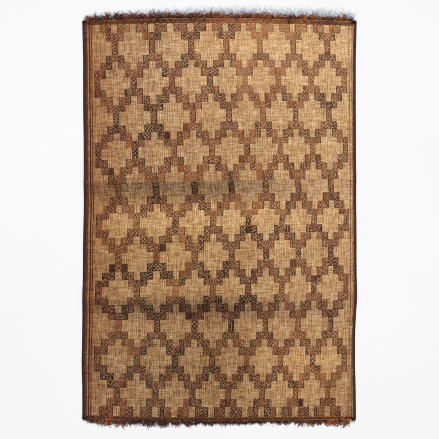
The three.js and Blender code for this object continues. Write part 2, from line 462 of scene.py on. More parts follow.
# Ties: each thong comes up over one reed in eight, three reeds away from its neighbour's tie.
TIE_LEATHER, TIE_SHARE = "#7A4A2E", 0.45
TIE_HALF_WIDTH, TIE_STEP = 0.3, 3.0
DYE_AND_SHADE_TINT, DYE_AND_SHADE_SHARE = "#9C765E", 0.35  # dye stain and painted shade on the straw between the lattice's thongs
# Nine lines of stem grain lie on 10 mm. They are finer in life, and are drawn this coarse so that they show.
STEM_GRAIN, STEM_STRETCH, STEM_RELIEF = 10 / 9, (0.12, 1, 1), 0.6


def straw_parts(tree, thong, reed):
    """What makes a bit of straw lighter or darker, each part from 0 to 1."""
    # Between two thongs the stems are pinched together, so each strip is lighter or darker, for a short run
    # of reeds and for a long one.
    strips = add(tree, "Math", {0: thong, 1: STREAK_THONGS}, operation="DIVIDE")
    strip = add(tree, "Math", {0: strips}, operation="FLOOR")
    other_strip = add(tree, "Math", {0: strip, 1: 900.0}, operation="ADD")
    stagger = chance(tree, strip, 7.0)
    runs = []
    for length in (STREAK_REEDS, LONG_STREAK_REEDS):
        run = add(tree, "Math", {0: reed, 1: 1 / length, 2: stagger}, operation="MULTIPLY_ADD")
        runs.append(add(tree, "Math", {0: run}, operation="FLOOR"))

    # Single stems and pairs of them differ in colour.
    pairs = add(tree, "Math", {0: reed, 1: STEM_REEDS}, operation="DIVIDE")
    pair = add(tree, "Math", {0: pairs}, operation="FLOOR")
    stagger = add(tree, "Math", {0: chance(tree, pair, 3.0), 1: 5.0}, operation="MULTIPLY")
    lengths = add(tree, "Math", {0: thong, 1: 1 / STEM_THONGS, 2: stagger}, operation="MULTIPLY_ADD")
    length = add(tree, "Math", {0: lengths}, operation="FLOOR")

    # Softer patches are wider than one strip.
    across = add(tree, "Math", {0: thong, 1: 1 / PATCH_THONGS}, operation="MULTIPLY")
    along = add(tree, "Math", {0: reed, 1: 1 / PATCH_REEDS}, operation="MULTIPLY")
    place = add(tree, "CombineXYZ", {0: across, 1: along})
    soft = {"Vector": place, "Scale": 1.0, "Detail": 2.0, "Roughness": 0.6}
    return {
        "strip": chance(tree, strip, runs[0]),
        "every_other_strip": add(tree, "Math", {0: other_strip, 1: 2.0}, operation="MODULO"),
        "long_strip": chance(tree, other_strip, runs[1]),
        "stem": chance(tree, pair, length),
        "patch": add(tree, "TexNoise", soft, noise_dimensions="2D"),
    }


def ties(tree, thong, reed):
    """How far a place is from the middle of its thong, and where the thong comes up over a reed."""
    off_thong = thong
    for operation, value in [("FRACT", 0.0), ("SUBTRACT", 0.5), ("ABSOLUTE", 0.0)]:
        off_thong = add(tree, "Math", {0: off_thong, 1: value}, operation=operation)
    on_thong = add(tree, "Math", {0: off_thong, 1: TIE_HALF_WIDTH}, operation="LESS_THAN")
    whole_thong = add(tree, "Math", {0: thong}, operation="FLOOR")
    whole_reed = add(tree, "Math", {0: reed}, operation="FLOOR")
    on_reed = add(tree, "Math", {0: whole_thong, 1: TIE_STEP, 2: whole_reed}, operation="MULTIPLY_ADD")
    for operation, value in [("MODULO", float(TIE_REEDS)), ("LESS_THAN", 1.0)]:
        on_reed = add(tree, "Math", {0: on_reed, 1: value}, operation=operation)
    return off_thong, add(tree, "Math", {0: on_thong, 1: on_reed}, operation="MULTIPLY")


def between_leather(tree, thong):
    """Where straw shows within the lattice's leather. The mesh holds for each reed its row's own bar, and how
    near to a bar and how far from one the leather reaches, in modules."""
    own_bar, nearest, farthest = (
        add(tree, "Attribute", output="Fac", attribute_name=name)
        for name in ("own_bar", "leather_near", "leather_far")
    )
    steps = [
        ("DIVIDE", float(MODULE_THONGS)),
        ("SUBTRACT", own_bar),
        ("ADD", BAR_MODULES - 0.5),
        ("FLOORED_MODULO", 2.0 * BAR_MODULES),
        ("SUBTRACT", float(BAR_MODULES)),
        ("ABSOLUTE", 0.0),
    ]
    module = thong
    for operation, value in steps:
        module = add(tree, "Math", {0: module, 1: value}, operation=operation)
    near = add(tree, "Math", {0: module, 1: nearest}, operation="GREATER_THAN")
    far = add(tree, "Math", {0: module, 1: farthest}, operation="LESS_THAN")
    return add(tree, "Math", {0: near, 1: far}, operation="MULTIPLY")


def reed_straw():
    """Dry grass stems, sun bleached: satin rounds, stained with dye and darkened with painted shade between
    the thongs, pinched together where a thong passes, with a thong tie on each eighth reed."""
    material, tree, shader = new_material("dry_reed_straw", {"Specular IOR Level": 0.15, "IOR": 1.45})
    thong = add(tree, "Attribute", output="Fac", attribute_name="thong")
    reed = add(tree, "Attribute", output="Fac", attribute_name="reed")
    wear_and_shade = add(tree, "Attribute", output="Color", attribute_name="wear_and_shade")

    parts = straw_parts(tree, thong, reed)
    tone = LOWEST_TONE
    for name, share in TONE_SHARES.items():
        tone = add(tree, "Math", {0: parts[name], 1: share, 2: tone}, operation="MULTIPLY_ADD")
    # Straw has more contrast where the wear and the painted crease shade make it darker.
    wear_and_shade_brightness = add(tree, "SeparateColor", {"Color": wear_and_shade})
    contrast = {0: wear_and_shade_brightness, 1: -BRIGHTER_STRAW_EVENNESS, 2: DARKER_STRAW_CONTRAST}
    contrast = add(tree, "Math", contrast, operation="MULTIPLY_ADD")
    from_middle = add(tree, "Math", {0: tone, 1: MIDDLE_TONE}, operation="SUBTRACT")
    tone = add(tree, "Math", {0: from_middle, 1: contrast, 2: MIDDLE_TONE}, operation="MULTIPLY_ADD")

    is_red = add(tree, "Math", {0: parts["stem"], 1: RED_FROM}, operation="GREATER_THAN")
    off_thong, is_tied = ties(tree, thong, reed)
    # Straw within the lattice's leather takes dye stain and painted shade from the thongs round it.
    is_stained_and_shaded = between_leather(tree, thong)
    red, tied, stained_and_shaded = (
        add(tree, "Math", {0: place, 1: share}, operation="MULTIPLY")
        for place, share in ((is_red, RED_SHARE), (is_tied, TIE_SHARE), (is_stained_and_shaded, DYE_AND_SHADE_SHARE))
    )
    cast = add(tree, "ValToRGB", {"Fac": cloudy(tree, CAST_SIZE, 3, CAST_STRETCH)}, stops=CAST_COLOURS)
    colour = add(tree, "ValToRGB", {"Fac": tone}, stops=STRAW_TONES)
    # The last layer multiplies in the wear and the painted shade and light by the creases.
    layers = [
        ("MIX", red, linear(RED_STEM)),
        ("MULTIPLY", 1.0, cast),
        ("MIX", tied, linear(TIE_LEATHER)),
        ("MIX", stained_and_shaded, linear(DYE_AND_SHADE_TINT)),
        ("MULTIPLY", 1.0, wear_and_shade),
    ]
    for blend, share, layer in layers:
        inputs = {"Factor": share, "A": colour, "B": layer}
        colour = add(tree, "Mix", inputs, "Result", data_type="RGBA", blend_type=blend)
    tree.links.new(colour, shader.inputs["Base Color"])

    rough = add(tree, "Math", {0: parts["patch"], 1: 0.4, 2: 0.35}, operation="MULTIPLY_ADD")
    tree.links.new(rough, shader.inputs["Roughness"])
    # The stems' grain lies on their bulge between two thongs.
    grain = cloudy(tree, STEM_GRAIN, 2, STEM_STRETCH)
    height = add(tree, "Math", {0: grain, 1: 0.35, 2: off_thong}, operation="MULTIPLY_ADD")
    relief = add(tree, "Bump", {"Height": height, "Distance": STEM_RELIEF * MM})
    tree.links.new(relief, shader.inputs["Normal"])
    return material


LEATHER_CLOUD = 100 / 6  # six lighter or darker areas to 100 mm
# Pores in 10 mm: seven in thin thongs and fewer in a binding's thicker hide. They too are drawn coarse.
THONG_GRAIN, HIDE_GRAIN = 10 / 7, 10 / 4.2
THONG_UNEVEN, HIDE_UNEVEN = 0.35, 0.2  # how much lighter or darker an area is
LEATHER_RELIEF = 0.4


def goat_leather(name, fixed, grain_size, uneven):
    """Hand-cut goat leather, dyed, then rubbed by feet: matt in the grain and satin where it is worn. The
    mesh holds each float's own dye, with painted shade at its foot and by the creases."""
    material, tree, shader = new_material(name, fixed)
    dye = add(tree, "Attribute", output="Color", attribute_name="dye")
    cloud = cloudy(tree, LEATHER_CLOUD, 3)
    grain = cloudy(tree, grain_size, 2)
    areas = add(tree, "Math", {0: cloud, 1: uneven * 2, 2: 1 - uneven}, operation="MULTIPLY_ADD")
    pores = add(tree, "Math", {0: grain, 1: 0.3, 2: 0.85}, operation="MULTIPLY_ADD")
    shade = add(tree, "Math", {0: areas, 1: pores}, operation="MULTIPLY")
    shaded = add(tree, "VectorMath", {0: dye, "Scale": shade}, operation="SCALE")
    tree.links.new(shaded, shader.inputs["Base Color"])
    rough = add(tree, "Math", {0: cloud, 1: -0.35, 2: 0.72}, operation="MULTIPLY_ADD")
    tree.links.new(rough, shader.inputs["Roughness"])
    height = add(tree, "Math", {0: grain, 1: 0.5, 2: cloud}, operation="MULTIPLY_ADD")
    relief = add(tree, "Bump", {"Height": height, "Distance": LEATHER_RELIEF * MM})
    tree.links.new(relief, shader.inputs["Normal"])
    return material


def floor_paper():
    """Matt white studio floor, a little uneven."""
    material, tree, shader = new_material("matt_white_floor", {"Roughness": 0.9, "Specular IOR Level": 0.1})
    stops = [(0.3, "#D7D8DA"), (0.7, "#D9DADC")]
    colour = add(tree, "ValToRGB", {"Fac": cloudy(tree, 1250, 2)}, stops=stops)
    tree.links.new(colour, shader.inputs["Base Color"])
    return material


# Meshes: one small shape from bmesh, many copies of it by an Array modifier, and then each copy's place.
def rod(sides, segments):
    """A closed prism along X from 0 to segments, with a radius of 1."""
    bm = bmesh.new()
    bmesh.ops.create_cone(
        bm, cap_ends=True, cap_tris=False, segments=sides, radius1=1, radius2=1, depth=segments
    )
    long_edges = [e for e in bm.edges if abs(e.verts[0].co.z - e.verts[1].co.z) > segments / 2]
    if segments > 1:
        bmesh.ops.subdivide_edges(bm, edges=long_edges, cuts=segments - 1)
    turn = Matrix.Translation((segments / 2, 0, 0)) @ Matrix.Rotation(math.pi / 2, 4, "Y")
    bmesh.ops.transform(bm, matrix=turn, verts=bm.verts)
    for face in bm.faces:
        face.smooth = len(face.verts) == 4 or sides == 4
    return as_mesh(bm)


def loaf():
    """A closed block from -1 to 1 on every axis, for a thong's float over the reeds."""
    bm = bmesh.new()
    bmesh.ops.create_cube(bm, size=2)
    for face in bm.faces:
        face.smooth = True
    return as_mesh(bm)


def as_mesh(bm):
    """Ends a bmesh and returns its mesh."""
    bmesh.ops.recalc_face_normals(bm, faces=bm.faces)
    mesh = bpy.data.meshes.new("shape")
    bm.to_mesh(mesh)
    bm.free()
    return mesh


def applied(mesh, add_modifiers):
    """The mesh with modifiers applied."""
    holder = bpy.data.objects.new("holder", mesh)
    bpy.context.scene.collection.objects.link(holder)
    add_modifiers(holder)
    depsgraph = bpy.context.evaluated_depsgraph_get()
    result = bpy.data.meshes.new_from_object(holder.evaluated_get(depsgraph))
    bpy.data.objects.remove(holder)
    return result


def many(single, count):
    """Copies of one shape in one mesh, and their points as (copy, point, axis)."""

    def add_array(holder):
        array = holder.modifiers.new("copies", "ARRAY")
        array.count = count
        array.use_relative_offset = False
        array.use_constant_offset = True
        array.constant_offset_displace = (0, 0, 0)

    mesh = applied(single, add_array)
    return mesh, numbers_of(mesh).reshape(count, -1, 3)


def numbers_of(mesh):
    """The mesh's vertices as an array."""
    flat = np.empty(3 * len(mesh.vertices), dtype=np.float32)
    mesh.vertices.foreach_get("co", flat)
    return flat.reshape(-1, 3).astype(float)


def keep(mesh, name, values):
    """Stores a number or a colour for every vertex under a name."""
    values = np.asarray(values, dtype=np.float32)
    kind, field = ("FLOAT", "value") if values.ndim == 1 else ("FLOAT_COLOR", "color")
    mesh.attributes.new(name, kind, "POINT").data.foreach_set(field, values.ravel())


def flat_map(mesh):
    """Gives the mesh its map for baking, laid out as the mat is seen from above."""
    points = numbers_of(mesh)[:, :2]
    low, high = points.min(axis=0), points.max(axis=0)
    spots = (points - low) / (high - low)
    corners = np.empty(len(mesh.loops), dtype=np.int32)
    mesh.loops.foreach_get("vertex_index", corners)
    layer = mesh.uv_layers.new(name="OFBake")
    layer.uv.foreach_set("vector", spots[corners].astype(np.float32).ravel())


def piece(name, mesh, points, material, node, mapped=True):
    """Makes an object of the mesh, with its points given in millimetres."""
    mesh.vertices.foreach_set("co", (points.reshape(-1, 3) * MM).astype(np.float32).ravel())
    mesh.update()
    if mapped:
        flat_map(mesh)
    mesh.name = name
    mesh.materials.clear()
    mesh.materials.append(material)
    made = bpy.data.objects.new(name, mesh)
    bpy.context.scene.collection.objects.link(made)
    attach(made, "root")
    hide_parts(node)
    return made


def dyes_at(dyes, levels):
    """Linear colours between a list of dyes, at places counted from the first one."""
    stops = np.array([linear(d) for d in dyes])
    levels = np.clip(levels, 0, len(dyes) - 1)
    return np.stack([np.interp(levels, np.arange(len(dyes)), stops[:, i]) for i in range(4)], axis=-1)


# The reeds.
REED_SIDES = 6
REED_TOP = math.sin(math.pi / 3)  # height of a six-sided rod above its middle, for a radius of 1
REED_UNEVEN, REED_THINNEST, REED_THICKEST = 0.07, 0.8, 1.15  # thickness, as a share of an even reed's
REED_DRIFT = 0.10  # how far a reed wanders from its row, in reeds
OUT_OF_REACH = 9.0  # in modules, for the reeds of the end bands
# The thongs at which a reed can bend.
REED_STATIONS = np.array([-15, -8, 1, 34, 64, 94, 124, 154, 184, 214, 244, 274, 310, 345, 357])


def lattice_at_reeds():
    """For each reed the module of its row's own bar, and the nearest and farthest reach of the leather."""
    own_bar, near, far = np.zeros(REEDS), np.full(REEDS, OUT_OF_REACH), np.full(REEDS, -OUT_OF_REACH)
    reed = END_BAND_REEDS
    for row, steps in enumerate(LATTICE_ROWS):
        for kind, height in steps.items():
            span = slice(reed, reed + height)
            own_bar[span] = BAR_MODULES * (row % 2)
            near[span], far[span] = LEATHER_REACH[kind][0] - 0.5, LEATHER_REACH[kind][1] + 0.5
            reed += height
    return {"own_bar": own_bar, "leather_near": near, "leather_far": far}


def reeds():
    """Every reed, bowed as its row is, in one mesh."""
    rng = np.random.default_rng(SEEDS["reeds"])
    mesh, shape = many(rod(REED_SIDES, len(REED_STATIONS) - 1), REEDS)
    station = shape[:, :, 0].round().astype(int)
    thong = REED_STATIONS[station]
    thickness = rng.normal(1, REED_UNEVEN, (REEDS, 1)).clip(REED_THINNEST, REED_THICKEST)
    drift = rng.normal(0, REED_DRIFT, (REEDS, len(REED_STATIONS)))
    drift = np.take_along_axis(drift, station, axis=1)
    reed = np.arange(REEDS)[:, None] + 0.5 + 0.5 * thickness * shape[:, :, 1] + drift
    middle, half = (REED_LOW + REED_HIGH) / 2, (REED_HIGH - REED_LOW) / 2
    height = middle + half * thickness * shape[:, :, 2] / REED_TOP
    points = lay(thong, np.clip(reed, 0, REEDS), height)
    made = piece("reeds", mesh, points, reed_straw(), "woven_field")
    keep(mesh, "thong", thong.ravel())
    keep(mesh, "reed", np.broadcast_to(np.arange(REEDS)[:, None] + 0.5, thong.shape).ravel())
    # The straw takes the mat's wear and the painted shade and light by its creases.
    keep(mesh, "wear_and_shade", wear_and_shade_colour(points).reshape(-1, 4))
    for name, values in lattice_at_reeds().items():
        keep(mesh, name, np.broadcast_to(values[:, None], thong.shape).ravel())
    return made


# The lattice's floats. Each module of leather is woven in one of these small designs. A float steps by so
# many reeds from one thong to the next, and the thong goes under some reeds in every period.
STEPS = named_rows(
    "step period under share",
    (2, 8, 2, 0.25),
    (2, 9, 3, 0.25),
    (3, 11, 3, 0.30),
    (3, 12, 4, 0.20),
)


def passes_under(design, pace, thong, reed, reeds_high):
    """Where the thongs go under the reeds in a module, for thong and reed counted from its corner."""
    step, period, under = pace["step"], pace["period"], pace["under"]
    from_middle = np.abs(thong - (MODULE_THONGS - 1) / 2)
    if design == "plain":
        return np.zeros(np.broadcast(thong, reed).shape, dtype=bool)
    if design == "bird_eyes":  # pairs of thongs go under four reeds of five, by turns
        return ((reed // 5 % 2 * 2 + thong) % 4 < 2) & (reed % 5 < 4)
    if design == "dashes":  # every third thong goes under six reeds of eight
        return (thong % 3 == 1) & ((reed + 2 * thong) % 8 < 6)
    if design == "ladders":  # three thongs at a time go under two reeds of eight
        return (reed + thong // 3 * 3) % 8 < 2
    if design == "right_twill":
        place = reed - step * thong
    elif design == "left_twill":
        place = reed + step * thong
    elif design == "chevrons_up":
        place = reed - step * from_middle
    elif design == "chevrons_down":
        place = reed + step * from_middle
    elif design == "crossed":
        both = np.minimum((reed + step * thong) % period, (reed - step * thong) % period)
        return both < 2
    else:
        span = 2 * period
        offset = (reeds_high % span) / 2
        place = np.abs((reed - offset) % span - period) + step * from_middle
    return place % period < under


DESIGNS = [
    "diamonds", "right_twill", "left_twill", "chevrons_up", "chevrons_down", "bird_eyes", "crossed", "dashes",
    "ladders", "plain",
]
DESIGN_SHARES = {
    "bar": (0.30, 0.10, 0.10, 0.10, 0.10, 0.08, 0.12, 0.04, 0.06, 0.00),
    "foot": (0.12, 0.16, 0.16, 0.08, 0.08, 0.12, 0.12, 0.05, 0.07, 0.04),
    "arms": (0.12, 0.17, 0.17, 0.06, 0.06, 0.16, 0.12, 0.05, 0.07, 0.02),
    "cap": (0.12, 0.16, 0.16, 0.06, 0.08, 0.13, 0.12, 0.05, 0.08, 0.04),
}
DYES = ["#9C6238", "#7A4226", "#56301F", "#3C2116", "#2B180F", "#1E120B"]
# How dark the thongs are on the whole, and where they are darker or lighter, in steps of the dyes. The rows
# at 0.42 to 0.44 and 0.70 to 0.725 of the length are painted shade on the folds' slopes turned from the
# light, and those at 0.47 and 0.67 are painted light on the slopes turned to it; the others are darker or
# lighter thongs.
DYE_ACROSS = (-800, -500, -160, 190, 500, 800)
DYE_TOP = (1.25, 1.3, 1.2, 0.8, 0.95, 1.3)
DYE_BOTTOM = (2.1, 1.95, 1.9, 1.9, 1.7, 1.6)
COLUMN_RUNS = 14  # a thong's dye changes this often along the mat
DARK_THONGS_AND_FOLD_SHADING = named_rows(
    "across down wide long darker",
    (-370, 0.02, 70, 40, 1.3),
    (-130, 0.02, 60, 40, 1.0),
    (640, 0.09, 50, 40, 1.3),
    (-330, 0.19, 110, 60, 1.2),
    (-370, 0.275, 140, 60, 1.8),
    (-590, 0.27, 100, 60, 0.9),
    (-640, 0.34, 110, 60, 0.7),
    (640, 0.21, 80, 50, 0.8),
    (-370, 0.43, 90, 70, 2.2),
    (-140, 0.42, 50, 60, 1.6),
    (100, 0.42, 60, 60, 1.2),
    (270, 0.42, 60, 60, 1.2),
    (640, 0.44, 60, 60, 0.9),
    (90, 0.53, 180, 60, 1.0),
    (215, 0.51, 60, 50, 1.4),
    (400, 0.52, 80, 40, 1.2),
    (590, 0.52, 80, 40, 1.4),
    (-380, 0.63, 110, 70, 2.0),
    (-620, 0.64, 130, 60, 1.2),
    (60, 0.63, 120, 60, 1.3),
    (-40, 0.70, 120, 50, 1.6),
    (170, 0.70, 110, 80, 1.8),
    (-450, 0.72, 300, 55, 1.8),
    (-50, 0.725, 240, 45, 1.2),
    (170, 0.79, 140, 60, 0.9),
    (-260, 0.85, 90, 100, 0.8),
    (-560, 0.87, 190, 50, 0.8),
    (-40, 0.87, 90, 70, 0.8),
    (-100, 0.98, 500, 40, 0.5),
    (400, 0.02, 180, 45, -1.2),
    (660, 0.02, 110, 40, -1.0),
    (170, 0.14, 110, 120, -0.8),
    (370, 0.12, 90, 70, -0.8),
    (-480, 0.47, 260, 90, -1.0),
    (120, 0.47, 300, 60, -0.9),
    (-230, 0.67, 70, 60, -1.0),
    (-30, 0.67, 50, 50, -0.6),
    (380, 0.85, 140, 70, -0.8),
    (640, 0.92, 120, 80, -0.7),
    (-300, 0.39, 220, 40, -0.8),
)


# How much the dye differs, in steps of the dyes: from one run of a module's thongs to the next, between
# modules, between thongs and between the floats of a thong.
RUN_SPREAD, MODULE_SPREAD, THONG_SPREAD, FLOAT_SPREAD = 0.45, 0.3, 0.5, 0.5
RIM_DARKER = 0.8  # steps of dye by which the outer thongs of a step are darker
MISSED_SHARE = 0.12  # of the places where a thong ought to go under
UNEVEN_ENDS = 0.35  # reeds by which a float starts early or late


def thong_darkness(x, down):
    """How many steps along the dyes the thongs are at a place, with the painted shade and light on the folds.
    """
    top = np.interp(x, DYE_ACROSS, DYE_TOP)
    bottom = np.interp(x, DYE_ACROSS, DYE_BOTTOM)
    level = top + (bottom - top) * smooth(down)
    for patch in DARK_THONGS_AND_FOLD_SHADING:
        wide = (x - patch["across"]) / patch["wide"]
        long = (down - patch["down"]) * REED_PITCH * REEDS / patch["long"]
        level = level + patch["darker"] * np.exp(-(wide**2) - long**2)
    return level


def lattice_steps():
    """Each step of the lattice: its kind, its first and last reed and its stretches of leather modules."""
    reed = END_BAND_REEDS
    for row, steps in enumerate(LATTICE_ROWS):
        from_bar = (np.arange(MODULES) - BAR_MODULES * (row % 2) + BAR_MODULES) % (2 * BAR_MODULES)
        away = np.abs(from_bar - BAR_MODULES)
        for kind, height in steps.items():
            near, far = LEATHER_REACH[kind]
            if height:
                yield kind, reed, reed + height, stretches((away >= near) & (away <= far))
            reed += height


def stretches(on):
    """First and last place of each stretch of True in a row."""
    steps = np.flatnonzero(np.diff(np.concatenate([[0], on.astype(int), [0]])))
    return zip(steps[::2], steps[1::2])


def float_list():
    """All floats as rows of thong, first reed, last reed and dye level."""
    rng = np.random.default_rng(SEEDS["lattice"])
    bundles = rng.normal(0, RUN_SPREAD, (MODULES, COLUMN_RUNS))
    floats = []
    for kind, top, bottom, runs in lattice_steps():
        down = (top + bottom) / 2 / REEDS
        rows = np.arange(bottom - top)[None, :]
        rim_rows = (rows < RIM_REEDS) | (rows >= bottom - top - RIM_REEDS)
        for first, last in runs:
            for module in range(first, last):
                design = rng.choice(DESIGNS, p=DESIGN_SHARES[kind])
                pace = rng.choice(STEPS, p=column(STEPS, "share"))
                first_thong = module * MODULE_THONGS
                x = across_at(np.array([first_thong + MODULE_THONGS / 2]), np.array([down]))[0]
                level = float(thong_darkness(x, down)) + bundles[module, int(down * COLUMN_RUNS)]
                level += rng.normal(0, MODULE_SPREAD)
                thongs = np.arange(MODULE_THONGS)[:, None]
                rim = rim_rows | ((thongs < RIM_THONGS) & (module == first))
                rim = rim | ((thongs >= MODULE_THONGS - RIM_THONGS) & (module == last - 1))
                over = rim | ~passes_under(design, pace, thongs, rows, bottom - top)
                for thong in range(MODULE_THONGS):
                    for start, end in stretches(~over[thong]):
                        over[thong, start:end] |= rng.random() < MISSED_SHARE
                    own = level + rng.normal(0, THONG_SPREAD)
                    own += RIM_DARKER * bool(rim[thong, rim.shape[1] // 2])
                    for start, end in stretches(over[thong]):
                        start, end = np.clip(rng.normal((start, end), UNEVEN_ENDS), 0, bottom - top)
                        dye = own + rng.normal(0, FLOAT_SPREAD)
                        floats.append((first_thong + thong, top + start, top + end, dye))
    return np.array(floats)


# The border's stripes. The last float of a stripe is at least so many reeds long.
BORDER_FLOAT, BORDER_OVERLAP, BORDER_LAST = 8, 1.5, 3
BORDER_STRIPES = named_rows(
    "thong dye uneven",
    (-9.9, 1.1, 0.4),
    (-7.0, 2.6, 0.3),
    (-6.2, 1.7, 0.4),
    (-3.9, 2.4, 0.4),
    (LATTICE_THONGS + 2.8, 1.3, 0.4),
    (LATTICE_THONGS + 7.0, 1.0, 0.4),
)


def border_list(stripes, rng):
    """Long floats of the border's stripes, which run the whole length and dip under single reeds."""
    floats = []
    for stripe in stripes:
        start = int(rng.integers(0, BORDER_FLOAT))
        while start < REEDS - BORDER_LAST:
            end = min(start + BORDER_FLOAT + BORDER_OVERLAP, REEDS)
            floats.append((stripe["thong"], start, end, stripe["dye"] + rng.normal(0, stripe["uneven"])))
            start += BORDER_FLOAT
    return floats


# How dark the thongs of the plaited end bands are, in steps of the dyes.
END_BAND_DYES = named_rows(
    "across top inner bottom",
    (-720, 1.7, 1.7, 1.2),
    (-480, 1.6, 1.5, 1.2),
    (-420, 2.3, 1.6, 1.7),
    (-320, 2.4, 1.6, 1.6),
    (-260, 1.7, 1.4, 1.4),
    (-110, 1.4, 1.4, 1.9),
    (-40, 0.6, 1.2, 1.7),
    (120, 0.3, 1.0, 1.5),
    (280, 0.5, 0.2, 1.4),
    (420, 1.2, -0.2, 1.2),
    (640, 2.1, -0.9, 1.2),
    (760, 1.4, -1.1, 0.9),
)
# First reed, last reed and steps of extra darkness of each row of the end bands, with its column of dyes.
END_BAND_ROWS = named_rows(
    "dyes from to darker",
    ("top", 0.5, 5.2, 0.5),
    ("top", 4.3, 9.2, 0.1),
    ("top", 8.3, 12.8, 0.3),
    ("inner", REEDS - 8.6, REEDS - 5.8, 0),
    ("bottom", REEDS - 6.2, REEDS - 3.2, 1.5),
    ("bottom", REEDS - 3.8, REEDS, 1.7),
)
# The plait leans one way for so many thongs and then the other way, so many reeds a thong.
PLAIT_THONGS, PLAIT_SLANT = 4, 0.5
HIDDEN_LEFT, HIDDEN_RIGHT = 6, 4  # thongs of each border that lie under the bindings


def end_band_list(rng):
    """Floats of the plaited bands between the end cords and the lattice."""
    floats = []
    thongs = np.arange(HIDDEN_LEFT - LEFT_BORDER, LATTICE_THONGS + RIGHT_BORDER - HIDDEN_RIGHT)
    across = across_at(thongs, np.zeros(len(thongs)))
    for row in END_BAND_ROWS:
        levels = np.interp(across, column(END_BAND_DYES, "across"), column(END_BAND_DYES, row["dyes"]))
        for thong, level in zip(thongs, levels):
            lean = 1 if (thong // PLAIT_THONGS) % 2 else -1
            shift = PLAIT_SLANT * lean * (thong % PLAIT_THONGS - (PLAIT_THONGS - 1) / 2)
            dye = level + row["darker"] + rng.normal(0, FLOAT_SPREAD)
            floats.append((thong, row["from"] + shift, row["to"] + shift, dye))
    return floats


FLOAT_WIDTH = 0.98  # of the space from one thong to the next
FLOAT_SHOULDER = 0.78  # width of a float's top, of its own width
FLOAT_SLOPE = 1.1  # reeds over which a float goes down between them
FOOT_SHADE = 0.6  # painted shade: how bright a float is at its foot, of its top
THONG_WEAR_AND_SHADE, BINDING_WEAR_AND_SHADE = 0.65, 0.2  # how much of the straw's wear and painted crease shade the leather shows


def leather_wear_and_shade(points, share):
    """How bright the mat's unevenness and painted crease shade leave leather that shows a share of them."""
    return 1 - share + share * brightness(points)


def float_piece(name, floats, material):
    """The floats as one mesh of small loaves that follow the thongs and the reeds."""
    mesh, shape = many(loaf(), len(floats))
    sx, sy, sz = np.moveaxis(shape, 2, 0)
    upper = sz > 0
    thong, start, end, level = (v[:, None] for v in floats.T)
    half = FLOAT_WIDTH / 2 * np.where(upper, FLOAT_SHOULDER, 1)
    slope = np.minimum(FLOAT_SLOPE, (end - start) / 3)
    reed = np.where(sy > 0, end - upper * slope, start + upper * slope)
    height = np.where(upper, FLOAT_HIGH, FLOAT_LOW)
    points = lay(thong + 0.5 + sx * half, reed, height)
    made = piece(name, mesh, points, material, "woven_field")
    # Painted shade darkens each float towards its foot, and the wear brings the painted crease shade too.
    shade = np.where(upper, 1.0, FOOT_SHADE) * leather_wear_and_shade(points, THONG_WEAR_AND_SHADE)
    dye = dyes_at(DYES, np.broadcast_to(level, shade.shape)) * shade[:, :, None]
    dye[:, :, :3] *= tint(points)
    keep(mesh, "dye", dye.reshape(-1, 4))
    return made


BACK_THONG_HALF_WIDTH = 0.36  # of the space from one thong to the next
BACK_THONG_DYE, BACK_THONG_SPREAD = 1.6, 0.6


def back_thongs(material):
    """The thongs under the reeds, seen when the mat is turned over."""
    rng = np.random.default_rng(SEEDS["back"])
    folded = LINE_DOWNS[(LINE_DOWNS > FOLDS_FROM) & (LINE_DOWNS < FOLDS_TO)]
    downs = np.array([0, 0.1, 0.2, FOLDS_FROM, *folded, FOLDS_TO, 0.8, 0.9, 1])
    thongs = np.arange(HIDDEN_LEFT - LEFT_BORDER, LATTICE_THONGS + RIGHT_BORDER - HIDDEN_RIGHT - 1)
    mesh, shape = many(rod(4, len(downs) - 1), len(thongs))
    station = shape[:, :, 0].round().astype(int)
    middle, half = (BACK_THONG_LOW + BACK_THONG_HIGH) / 2, (BACK_THONG_HIGH - BACK_THONG_LOW) / 2
    thong = thongs[:, None] + 0.5 + BACK_THONG_HALF_WIDTH * shape[:, :, 1]
    points = lay(thong, downs[station] * REEDS, middle + half * shape[:, :, 2])
    made = piece("back_thongs", mesh, points, material, "woven_field")
    level = BACK_THONG_DYE + rng.normal(0, BACK_THONG_SPREAD, (len(thongs), 1))
    keep(mesh, "dye", dyes_at(DYES, np.broadcast_to(level, station.shape)).reshape(-1, 4))
    return made


# The bindings.
BINDING_STATIONS = 240
BINDING_LEATHER = 1.1
BINDING_DYE = "#2E1C1E"
# How far the inner edge wavers and the upper side ripples, and over how many stations.
WAVER, WAVER_SPAN, RIPPLE, RIPPLE_SPAN = 1.6, 9, 0.45, 5
# Each side of the mat: which way is out, how far the binding covers it, and where the lacing begins and ends.
SIDES = {
    "left": {"out": -1, "line": LEFT_LINE, "cover": 20, "lacing": (16, 28), "seeds": (41, 47)},
    "right": {"out": 1, "line": RIGHT_LINE, "cover": 14, "lacing": (10.5, 19), "seeds": (43, 53)},
}
# The fold of a binding: how far in from the outer edge, as a share of the cover or in mm, and how high. The
# first four of its places lie on top.
FOLDS_ON_TOP = 4
BINDING_FOLD = named_rows(
    "cover mm high",
    (1.0, 0, 4.3),
    (0.75, 0, 4.6),
    (0.4, 1, 4.9),
    (0.15, 2, 4.6),
    (0.0, 2.4, 3.9),
    (0.0, 2.0, 2.8),
    (0.0, 2.4, 1.5),
    (0.15, 2, 0.6),
    (0.6, 0, 0.6),
    (1.0, 0, 0.6),
)


def edge_points(side, inward, down, height):
    """Points a distance in from the mat's outer edge."""
    x = np.interp(down, LINE_DOWNS, side["line"]) - side["out"] * inward
    y = TOP_MIDDLE - REED_PITCH * REEDS * down + row_shift(x, down)
    return np.stack(np.broadcast_arrays(x, y, height + lift_at(down)), axis=-1)


def soft_noise(rng, span):
    """A random number for each station of a binding, averaged over so many."""
    return np.convolve(rng.normal(0, 1, BINDING_STATIONS + span), np.ones(span) / span, "valid")


